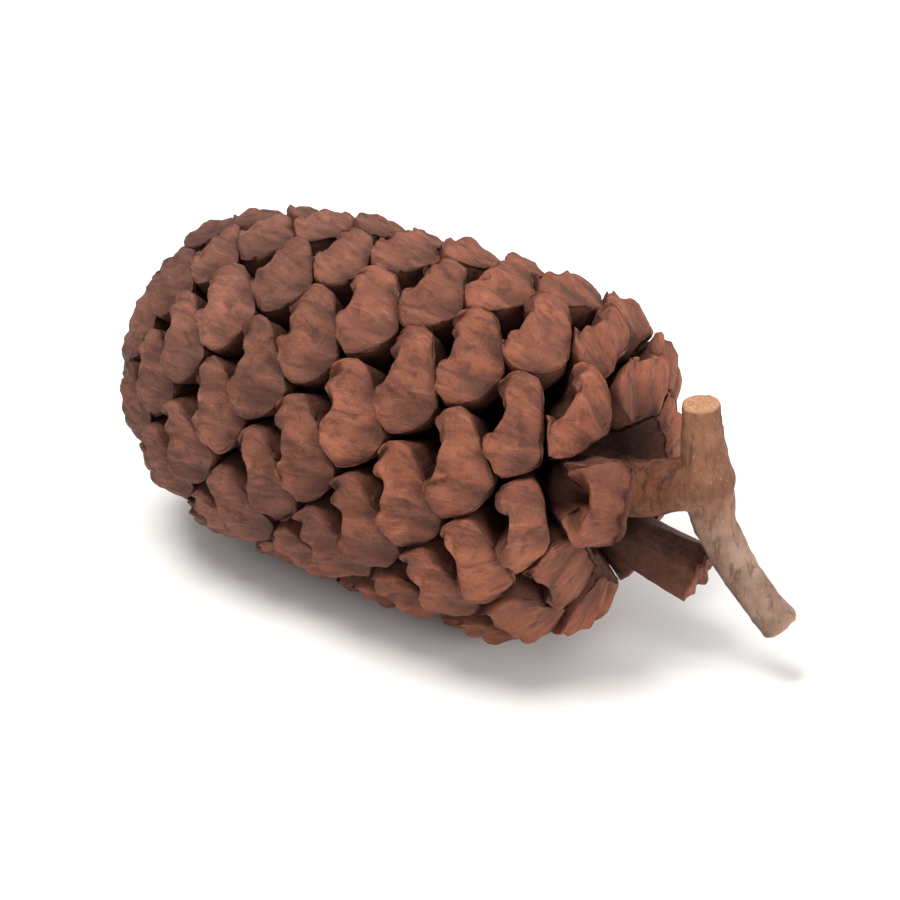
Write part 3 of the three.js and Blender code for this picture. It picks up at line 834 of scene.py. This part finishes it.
q = cone_of(co)
twig_curve = catmull(TWIG, 20)
dist = np.linalg.norm(q[:, None, :] - twig_curve[None, :, :3], axis=2)
near = dist.argmin(1)
on_twig = smooth(1.0, 0.75, dist.min(1))
station = near / (len(twig_curve) - 1)
end_a, end_b = twig_curve[0, :3], twig_curve[-1, :3]
dir_a = twig_curve[0, :3] - twig_curve[2, :3]
dir_b = twig_curve[-1, :3] - twig_curve[-3, :3]
dir_a /= np.linalg.norm(dir_a)
dir_b /= np.linalg.norm(dir_b)
past_a = (q - end_a) @ dir_a
past_b = (q - end_b) @ dir_b
cut = np.maximum(smooth(-0.1, -0.02, past_a) * (np.linalg.norm(q - end_a, axis=1) < 0.8), smooth(-0.1, -0.02, past_b) * (np.linalg.norm(q - end_b, axis=1) < 0.8))
side = q - twig_curve[near, :3]
ang = np.arctan2(side[:, 1], side[:, 0])
ridges = noise(np.stack([np.cos(ang) * 2.6, np.sin(ang) * 2.6, station * 5], -1), 1.0, 21)
knob = rough(co, 0.5, 13, 3)
lift = 0.035 * ridges * on_twig + 0.03 * knob
lift *= 1 - 0.6 * cut
co2 = co + no * lift[:, None]
co2[:, 2] = np.maximum(co2[:, 2], 0)
me.vertices.foreach_set("co", (co2 / 1000).astype(np.float32).ravel())
me.update()
for key, val in {
    "cut": cut,
    "up": smooth(-1.2, 0.9, q[:, 2]),
    # painted shade: the stalk near the cone, under its base, is painted darker
    "stalk": smooth(0.5, 0.85, dist.min(1)) * smooth(2.2, 1.3, q[:, 0]),
    # painted shade: the axis inside the cone
    "inside_cone_shade": smooth(0.3, -1.0, q[:, 0]),
}.items():
    at = me.attributes.new(key, "FLOAT", "POINT")
    at.data.foreach_set("value", np.asarray(val, np.float32))
me.polygons.foreach_set("use_smooth", np.ones(len(me.polygons), bool))
me.materials.clear()
me.materials.append(TWIG_MAT)
stalk.name = "twig_and_axis"
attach(stalk, "root")
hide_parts("stalk_and_axis")

# ---------------------------------------------------------------- floor, light and camera
bpy.ops.mesh.primitive_plane_add(size=1.2, location=(0, 0, 0))
floor = bpy.context.object
floor.name = "floor"
m = Nodes("floor_paper")
m.shader.inputs["Base Color"].default_value = (0.84, 0.835, 0.825, 1)
m.shader.inputs["Roughness"].default_value = 0.8
m.shader.inputs["Specular IOR Level"].default_value = 0.2
floor.data.materials.append(m.mat)

world = bpy.data.worlds.new("studio")
world.use_nodes = True
world.node_tree.nodes["Background"].inputs[0].default_value = (1.0, 0.99, 0.975, 1)
world.node_tree.nodes["Background"].inputs[1].default_value = 0.56
bpy.context.scene.world = world


def area(name, where, size, power, look=(0, 0, 0.004), color=(1, 1, 1)):
    data = bpy.data.lights.new(name, "AREA")
    data.shape = "DISK"
    data.size = size
    data.energy = power
    data.color = color
    ob = bpy.data.objects.new(name, data)
    ob.location = where
    ob.rotation_mode = "QUATERNION"
    ob.rotation_quaternion = (Vector(look) - Vector(where)).to_track_quat("-Z", "Y")
    bpy.context.scene.collection.objects.link(ob)
    return ob


area("key", (-0.03, -0.055, 0.22), 0.1, 0.46, color=(1.0, 0.98, 0.95))
area("fill", (0.23, -0.05, 0.08), 0.14, 0.42)
area("back", (0.03, 0.16, 0.12), 0.12, 0.12)

AZ, EL = math.radians(35), math.radians(30)
cam_data = bpy.data.cameras.new("camera")
cam_data.lens = 100
cam_data.sensor_width = 36
cam_data.clip_start = 0.005
cam_data.clip_end = 10
cam = bpy.data.objects.new("camera", cam_data)
target = Vector((0.0, 0.0, 0.0042))
back = Vector((math.sin(AZ) * math.cos(EL), -math.cos(AZ) * math.cos(EL), math.sin(EL)))
cam.location = target + back * 0.066
cam.rotation_mode = "QUATERNION"
cam.rotation_quaternion = (-back).to_track_quat("-Z", "Y")
bpy.context.scene.collection.objects.link(cam)
bpy.context.scene.camera = cam
bpy.context.scene.view_settings.view_transform = "Standard"
